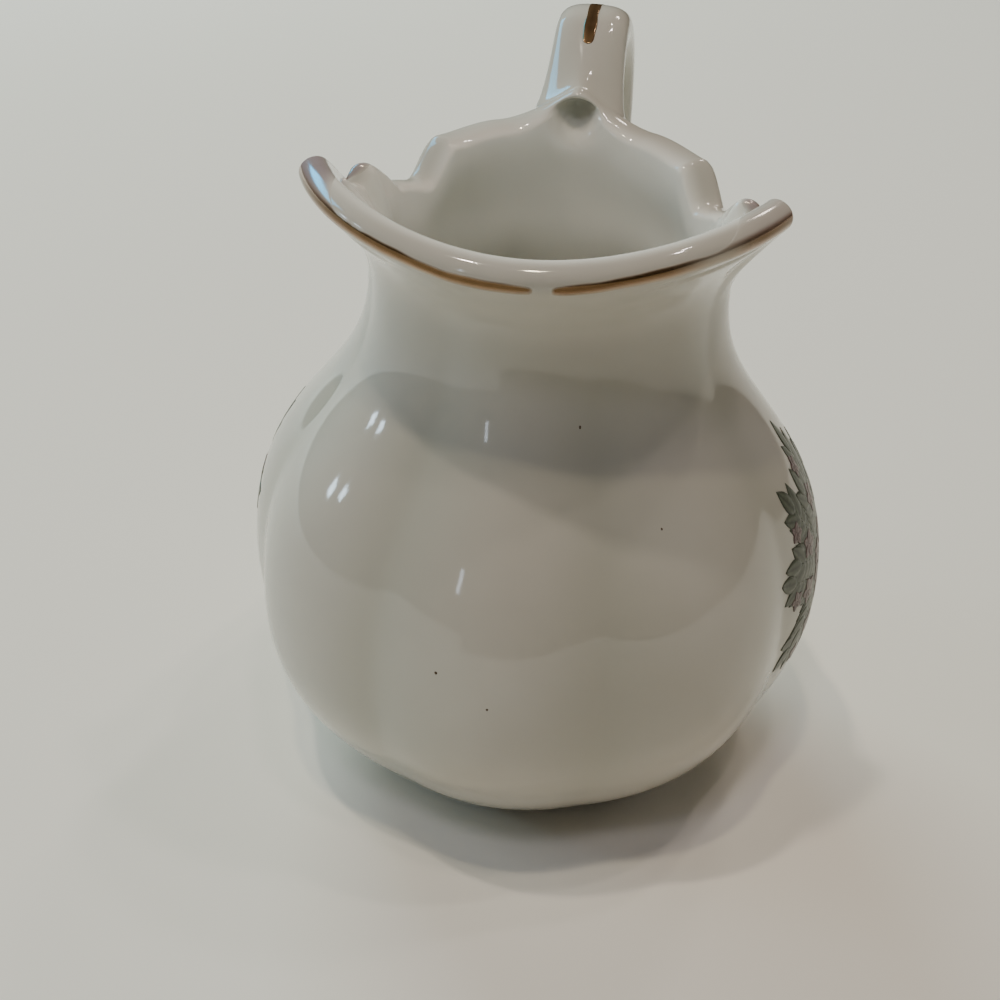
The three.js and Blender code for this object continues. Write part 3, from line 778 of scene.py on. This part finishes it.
def make_handle():
    """Loop handle: a squarish strap with trumpet-shaped ends, smoothed into the body with slip.

    Its upper end is hollow behind the pocket in the body.
    """
    around = np.arange(HANDLE_SIDES) * 360 / HANDLE_SIDES
    shares = np.linspace(HANDLE_ROOT_SHARE, HANDLE_FOOT_SHARE, HANDLE_ROWS)
    strap = strap_point(shares[:, None], around[None, :])
    share = np.linspace(0, 1, BLEND_ROWS)[:, None, None]
    root = luted_end(root_mark, HANDLE_ROOT_SHARE, 1, around, share)
    foot = luted_end(foot_mark, HANDLE_FOOT_SHARE, -1, around, share)
    mouth = root_mark(around, HOLLOW_SIZE) + HOLLOW_SINK
    rings = np.concatenate([mouth[None], root[:-1], strap, foot[::-1][1:]])
    tip = root_mark(np.zeros(1), 0.0)[0] + HOLLOW_TIP
    points, faces = shell(rings, tip, rings[-1].mean(0))
    new_piece("porcelain_handle", points, faces, PORCELAIN, "porcelain",
              "handle", "upper_luting_slip", "lower_luting_slip")


make_handle()


# Gilding

def hand(azimuth, seed, sway):
    """Unsteady brush: two slow waves along the rim."""
    return sway * (np.sin(0.31 * azimuth + seed) + 0.5 * np.sin(0.83 * azimuth + 2.3 * seed))


def rounded_ends(share, power):
    """1 in the middle and 0 at both ends of a stroke: a superellipse."""
    return np.clip(1 - np.abs(2 * share - 1) ** power, 0, 1) ** (1 / 2)


def rim_stroke(name, span, look, nodes, squareness, steps=120, across=33):
    """Gilt stroke on the rim over a span of azimuths, with ends as square as the power of a superellipse.

    Its look gives the lower and upper edge and the dense dark line, a painted reflection, in degrees of
    rounding, the degrees over which it fades out at either edge, how mauve its lustre is, and how much of it
    is left on top of the roll and on the line below.
    """
    share = np.linspace(0, 1, steps)[:, None]
    azimuth = mix(*span, share)
    film = look(azimuth)
    middle = (film["low"] + film["high"]) / 2
    half = (film["high"] - film["low"]) / 2 * rounded_ends(share, squareness)
    half = np.maximum(half, RIM_STROKE_TIP)
    around = middle + half * np.linspace(-1, 1, across)
    from_low = around - middle + half
    from_high = middle + half - around
    low_fade, high_fade = film["fades"]
    ends = ease(np.minimum(share, 1 - share), 0, END_FADE)
    full = ease(from_low, 0, low_fade / 2) * ease(from_high, 0, high_fade / 2) * ends
    top = rim_point(azimuth, around, mix(FILM_EDGE, FILM_LIFT, full))
    bottom = rim_point(azimuth, around, -FILM_SINK)
    piece = new_piece(name, *sheets(top[None], bottom[None]), GOLD, "gilt", *nodes)
    on_top = ease(around, *ROLL_TOP)
    kept = ease(from_low, 0, low_fade) * ease(from_high, 0, high_fade) * ends
    layers = {
        # Painted reflection: the film is darkest along its dense line.
        "gold_depth_and_dark_reflection": np.exp(-((around - film["dark_reflection_line"]) / DARK_REFLECTION_REACH) ** 2),
        "lustre": film["mauve"] * mix(SIDE_MAUVE, 1, on_top),
        "gold_kept": kept * mix(film["left_on_line"], film["left_on_top"], on_top),
    }
    for layer, values in layers.items():
        paint(piece, layer, np.tile(np.broadcast_to(values, around.shape).ravel(), 2))


def lip_look(azimuth):
    """A line low on the outer edge of the lip that widens over the whole roll of the wing.

    It runs lower at the lip's middle, and on the right it is worn on one stretch and mostly off the wing.
    """
    turn = np.abs(azimuth)
    widening = ease(turn, *WING_SPAN)
    drop = LIP_DROP * (1 - ease(turn, *LIP_DROP_SPAN))
    low = mix(LIP_LINE[0], WING_FILM[0], ease(turn, *WING_LOW_SPAN)) - drop
    high = mix(LIP_LINE[1], WING_FILM[1], widening) - drop
    return {
        "low": low + hand(azimuth, 1.3, 1.2),
        "high": high + hand(azimuth, 4.1, 1.6),
        "dark_reflection_line": mix(LIP_DARK_REFLECTION, WING_DARK_REFLECTION, widening) - drop,
        "fades": (LIP_FADES[0], mix(LIP_FADES[1], WING_FADE, widening)),
        "mauve": ease(turn, *WING_MAUVE_SPAN),
        "left_on_top": widening * np.where(azimuth < 0, LEFT_ON_WINGS["left"], LEFT_ON_WINGS["right"]),
        "left_on_line": 1 - WORN_SHARE * np.exp(-((azimuth - WORN_AZIMUTH) / WORN_REACH) ** 2),
    }


def curl_look(azimuth):
    """Gilding over the top of a curl."""
    return {
        "low": 25 + hand(azimuth, 2.2, 2.0),
        "high": 150 + hand(azimuth, 0.4, 3.0),
        "dark_reflection_line": 45.0,
        "fades": (20, 40),
        "mauve": 1.0,
        "left_on_top": 0.7,
        "left_on_line": 1.0,
    }


def back_look(azimuth):
    """A fine line on the outer edge of a back shoulder."""
    return {
        "low": -6 + hand(azimuth, 3.1, 1.5),
        "high": 44 + hand(azimuth, 5.2, 2.0),
        "dark_reflection_line": 20.0,
        "fades": (12, 12),
        "mauve": 0.3,
        "left_on_top": 1.0,
        "left_on_line": 1.0,
    }


def make_gilding():
    """Strokes on the lip and wings, the curls and the back shoulders, left and right."""
    for side, sign in (("left", -1), ("right", 1)):
        lip_span = (BARE_SPOT[side], sign * WING_END)
        curl_span = sign * np.array(CURL_SPAN)
        back_span = sign * np.array(BACK_SPAN)
        lip_nodes = (f"gilt_lip_{side}", f"gilt_wing_{side}")
        rim_stroke(f"gilt_lip_and_wing_{side}", lip_span, lip_look, lip_nodes, squareness=24, steps=300)
        rim_stroke(f"gilt_curl_stroke_{side}", curl_span, curl_look, (f"gilt_curl_{side}",), squareness=3)
        rim_stroke(f"gilt_back_line_{side}", back_span, back_look, (f"gilt_back_{side}",), squareness=5)


def make_handle_stroke():
    """Gilt stroke down the middle of the handle's outer side, from its flared root over the loop's top.

    Its width, which two slow waves make uneven, is measured across the handle, whose own half width is read
    off a point 60 degrees round it.
    """
    along = np.linspace(STROKE_START, STROKE_END, STROKE_ROWS)[:, None]
    half = STROKE_HALF_WIDTH * rounded_ends((along - STROKE_START) / (STROKE_END - STROKE_START), 40)
    half = half * (1 + 0.08 * np.sin(60 * along) + 0.05 * np.sin(141 * along))
    across = np.linspace(-1, 1, 9)
    flared = np.clip(along / HANDLE_ROOT_SHARE, 0, 1)
    probe = luted_end(root_mark, HANDLE_ROOT_SHARE, 1, np.full(len(along), 60.0), flared)
    width = probe[:, :1] / swell(math.cos(math.radians(60)))
    reach = np.maximum(half, STROKE_POINT) * across / width
    around = 90 - np.degrees(np.arcsin(np.sign(reach) * np.abs(reach) ** (1 / HANDLE_SQUARENESS)))
    strap = strap_point(np.maximum(along, HANDLE_ROOT_SHARE), around)
    share = np.repeat(flared, len(across), 1).reshape(-1, 1)
    root = luted_end(root_mark, HANDLE_ROOT_SHARE, 1, around.ravel(), share).reshape(strap.shape)
    points = np.where((along < HANDLE_ROOT_SHARE)[..., None], root, strap)
    outwards = np.cross(np.gradient(points, axis=1), np.gradient(points, axis=0))
    outwards = outwards / np.linalg.norm(outwards, axis=-1, keepdims=True)
    films = sheets((points + FILM_LIFT * outwards)[None], (points - FILM_SINK * outwards)[None])
    piece = new_piece("gilt_stroke_on_handle", *films, GOLD, "gilt", "gilt_handle_stroke")
    dense = np.broadcast_to(STROKE_DENSITY - STROKE_THINNING * np.abs(across), points.shape[:2]).ravel()
    paint(piece, "gold_depth_and_dark_reflection", np.tile(dense, 2))
    paint(piece, "lustre", np.zeros(2 * dense.size))
    paint(piece, "gold_kept", np.ones(2 * dense.size))


make_gilding()
make_handle_stroke()


# Printed sprigs

def turned(angle):
    """Unit arrows at angles in degrees, 0 to the right and 90 up."""
    return np.stack([np.cos(np.radians(angle)), np.sin(np.radians(angle))], -1)


def leaf_grid(base, angle, length, width, bend, rows=9, columns=5):
    """Flat leaves: each runs from its base along an arc, as wide as a sine over its length, with a point."""
    along = np.linspace(0, 1, rows)[None, :, None]
    across = np.linspace(-1, 1, columns)[None, None, :]
    length, width, bend = (np.asarray(value)[:, None, None] for value in (length, width, bend))
    heading = turned(angle)[:, None, None, :]
    sideways = turned(angle + 90)[:, None, None, :]
    forward = length * along
    half = width / 2 * np.sin(np.pi * along ** LEAF_OUTLINE[0]) ** LEAF_OUTLINE[1]
    offset = bend * length * along**2 + across * np.maximum(half, LEAF_TIP)
    return base[:, None, None, :] + forward[..., None] * heading + offset[..., None] * sideways


def on_belly(flat, facing, lift):
    """Flat drawing in millimetres laid round the belly about the print's middle."""
    return belly_point(facing + np.degrees(flat[..., 0] / BELLY_RADIUS), PRINT_HEIGHT + flat[..., 1], lift)


def spray_line(angle, reach, curl, share):
    """Places and headings on the stems: each leaves the middle at an angle and bends off by its curl."""
    heading = angle + curl * share
    place = reach * share * turned(angle + curl * share / 2).T
    return place.T * (1.0, PRINT_HALF_HEIGHT / PRINT_HALF_WIDTH), heading


def print_piece(name, flat, facing, material, node, lift):
    """Film of enamel for a stack of flat grids on one side of the belly, each just over the one before."""
    top = on_belly(flat, facing, lift + np.linspace(0, FILM_LIFT, len(flat))[:, None, None])
    bottom = on_belly(flat, facing, -FILM_SINK)
    piece = new_piece(name, *sheets(top, bottom), material, "enamel", node)
    count, rows, columns, _ = flat.shape
    rib = np.broadcast_to(np.abs(np.linspace(-1, 1, columns)), (count, 1, rows, columns))
    paint(piece, "from_rib", np.repeat(rib, 2, 1).ravel())


def make_sprig(side, facing):
    """A dense sprig of leafy sprays round a middle, each second one shorter, with small blossoms.

    Slow waves over the sprays' numbers keep them from being alike.
    """
    number = np.arange(2 * PRINT_SPRAYS)
    each = np.ones(2 * PRINT_SPRAYS)
    angle = number * 180 / PRINT_SPRAYS + SPRAY_SWING * np.sin(2.4 * number)
    reach = np.where(number % 2 == 0, *SPRAY_REACHES) + SPRAY_VARIETY * np.cos(1.9 * number)
    reach = PRINT_HALF_WIDTH * reach
    curl = SPRAY_CURL * np.cos(2.7 * number + 0.5)
    middle = np.zeros((2 * PRINT_SPRAYS, 2))
    stems = leaf_grid(middle, angle, reach, STEM_WIDTH * each, np.radians(curl) / 2, rows=17)
    stems[..., 1] *= PRINT_HALF_HEIGHT / PRINT_HALF_WIDTH
    leaves = []
    for share in np.linspace(LEAF_START, 1, LEAF_PAIRS + 1):
        place, heading = spray_line(angle, reach, curl, share * each)
        length = (LEAF_LENGTH - LEAF_TAPER * share) * each
        for lean in ((-LEAF_LEAN, LEAF_LEAN) if share < 1 else (0,)):
            bend = -LEAF_CURVE * lean * each
            leaves.append(leaf_grid(place, heading + lean, length, LEAF_SLENDERNESS * length, bend))
    petals = []
    for share, petal in BLOSSOMS:
        line = spray_line(angle + BLOSSOM_TURN, reach, curl, share * each)
        place, heading = (values[::2] for values in line)
        length = petal * each[::2]
        for turn in np.arange(PETALS) * 360 / PETALS:
            width = PETAL_SLENDERNESS * length
            petals.append(leaf_grid(place, heading + turn, length, width, 0 * length, rows=7))
    layers = (
        ("stems", stems, STEM_BROWN),
        ("leaves", np.concatenate(leaves), LEAF_GREEN),
        ("blossoms", np.concatenate(petals), BLOSSOM_MAUVE),
    )
    for layer, flat, enamel in layers:
        print_piece(f"sprig_{layer}_{side}", flat, facing, enamel, f"print_{side}", LAYER_LIFTS[layer])


for print_side, print_azimuth in PRINT_AZIMUTHS.items():
    make_sprig(print_side, print_azimuth)


# Firing specks

def make_specks():
    """Tiny dark spots in the glaze, each a low round pad."""
    turn, up, size = np.array(SPECKS).T[:, :, None, None]
    around = np.linspace(0, 2 * np.pi, 13)[None, None, :]
    reach = np.array(SPECK_RADII)[None, :, None] * size
    azimuth = turn + np.degrees(reach * np.cos(around) / BELLY_RADIUS)
    height = up + reach * np.sin(around)
    points, faces = sheets(belly_point(azimuth, height, FILM_LIFT), belly_point(azimuth, height, -FILM_SINK))
    new_piece("firing_specks", points, faces, SPECK, "porcelain")


make_specks()


# Floor, card and lights, in metres

FLOOR_RADIUS = 0.9
FLOOR_DROP = 0.0002
FLOOR_CLOUD = 1 / 6  # size of the paint's faint cloud
CARD_SIDES = (-0.08, 0.5)
CARD_FRONT = -0.22
CARD_TOP = 0.5
MIDDLE = Vector((0, 0, 0.045))

# Lights: name, azimuth, elevation, distance, width, height, watts, colour and special use
LIGHTS = (
    ("lamp_above_left", -73, 75, 1.3, 0.05, 0.05, 3.0, "#fff1de"),
    ("lamp_above_right", 106, 70, 1.3, 0.05, 0.05, 1.2, "#fff0e9"),
    ("lamp_above_behind", 132, 69, 1.3, 0.05, 0.05, 0.9, "#fff4e8"),
    ("lamp_behind_right", 160, 40, 1.6, 0.16, 0.16, 1.8, "#fff2e4"),
    ("panel_behind_left", -119, 31, 1.3, 0.85, 0.3, 6.0, "#3cc6ff", "mirrored"),
    ("panel_left_near", -79, 22, 1.2, 0.07, 0.07, 0.4, "#d3ecff"),
    ("panel_left_far", -88, 18, 1.2, 0.08, 0.08, 0.5, "#d3ecff"),
    ("panel_front", -28, 22, 1.2, 0.04, 0.22, 0.25, "#e3f0ff"),
    ("lamp_front_top", -20, 78, 1.4, 0.06, 0.06, 2.5, "#fff0ce"),
    ("fill_behind_left", -145, 26, 1.3, 0.7, 0.4, 13.0, "#e6fbfb", "fill"),
    ("fill_left", -100, 16, 1.2, 0.6, 0.35, 2.3, "#d0f3ff", "fill"),
    ("fill_left_high", -75, 45, 1.3, 0.5, 0.3, 0.95, "#f0f9ff", "fill"),
    ("fill_front_high", -10, 62, 1.4, 0.2, 0.2, 1.8, "#f2eeff", "fill"),
    ("fill_top_right", 40, 80, 1.4, 0.1, 0.1, 1.3, "#ffefe6", "fill"),
    ("fill_right", 120, 30, 1.4, 0.6, 0.4, 0.7, "#fffcfb", "fill"),
)


def floor_paint():
    """Matt pale paint, almost white, with a faint cloud."""
    material, tree = new_material("pale_matt_floor")
    place = add_node(tree, "ShaderNodeTexCoord")
    cloud = add_node(tree, "ShaderNodeTexNoise", {"Scale": 1 / FLOOR_CLOUD, "Detail": 4.0},
                     {"Vector": (place, "Object")})
    tint = add_node(tree, "ShaderNodeMixRGB", {"Color1": linear("#f1ede2"), "Color2": linear("#f5f1e7")},
                    {"Fac": (cloud, "Fac")})
    matt = add_node(tree, "ShaderNodeBsdfPrincipled", {"Roughness": 0.9, "Specular IOR Level": 0.2},
                    {"Base Color": (tint, "Color")})
    add_node(tree, "ShaderNodeOutputMaterial", {}, {"Surface": (matt, "BSDF")})
    return material


def make_floor():
    """Round flat floor just under the foot."""
    turn = np.linspace(0, 2 * np.pi, 128, endpoint=False)
    rim = FLOOR_RADIUS * np.stack([np.cos(turn), np.sin(turn), 0 * turn], -1) - (0, 0, FLOOR_DROP)
    floor = new_object("floor", rim.tolist(), [list(range(len(rim)))], floor_paint())


def make_card():
    """Matt dark card in front, for the dark half of the gold's mirror image. The camera doesn't see it and
    it casts no shadow.
    """
    material, tree = new_material("dark_matt_card")
    matt = add_node(tree, "ShaderNodeBsdfPrincipled", {"Base Color": linear("#3a352e"), "Roughness": 0.9})
    add_node(tree, "ShaderNodeOutputMaterial", {}, {"Surface": (matt, "BSDF")})
    corners = [(across, CARD_FRONT, up) for up in (0, CARD_TOP) for across in CARD_SIDES]
    card = new_object("card", corners, [(2, 3, 1, 0)], material)
    card.visible_camera = False
    card.visible_shadow = False


def area_light(name, azimuth, elevation, distance, width, height, watts, colour, use="lamp"):
    """Soft rectangular light facing the pitcher. A mirrored one only shows in the glaze, a fill doesn't."""
    turn, rise = math.radians(azimuth), math.radians(elevation)
    level = distance * math.cos(rise)
    light = bpy.data.lights.new(name, "AREA")
    light.shape = "RECTANGLE"
    light.size = width
    light.size_y = height
    light.energy = watts
    light.color = linear(colour)[:3]
    lamp = bpy.data.objects.new(name, light)
    lamp.location = (level * math.sin(turn), -level * math.cos(turn), distance * math.sin(rise))
    lamp.rotation_euler = (MIDDLE - lamp.location).to_track_quat("-Z", "Y").to_euler()
    lamp.visible_diffuse = use != "mirrored"
    lamp.visible_glossy = use != "fill"
    bpy.context.scene.collection.objects.link(lamp)


make_floor()
make_card()
for settings in LIGHTS:
    area_light(*settings)

# Plain warm grey all round, seen by the camera but neither mirrored nor lighting anything
world = bpy.data.worlds.new("studio")
bpy.context.scene.world = world
world.use_nodes = True
background = world.node_tree.nodes["Background"]
background.inputs["Color"].default_value = linear("#d3d1ca")
background.inputs["Strength"].default_value = 0.6
world.cycles_visibility.diffuse = False
world.cycles_visibility.glossy = False

# Camera: place, turn about the vertical, pitch down and roll, with the lens as a share of the sensor's width
CAMERA_PLACE = Vector((19.38, -154.78, 129.78)) * MM
CAMERA_TURN = math.radians(8.8)
CAMERA_PITCH = math.radians(32)
CAMERA_ROLL = math.radians(2.354)
CAMERA_NEAR = 5 * MM
SENSOR_WIDTH = 36
FOCAL_SHARE = 1.45

camera = bpy.data.objects.new("camera", bpy.data.cameras.new("camera"))
camera.data.sensor_width = SENSOR_WIDTH
camera.data.lens = SENSOR_WIDTH * FOCAL_SHARE
camera.data.clip_start = CAMERA_NEAR
looking = Matrix.Rotation(CAMERA_TURN, 4, "Z") @ Matrix.Rotation(math.pi / 2 - CAMERA_PITCH, 4, "X")
camera.matrix_world = Matrix.Translation(CAMERA_PLACE) @ looking @ Matrix.Rotation(CAMERA_ROLL, 4, "Z")
bpy.context.scene.collection.objects.link(camera)
bpy.context.scene.camera = camera
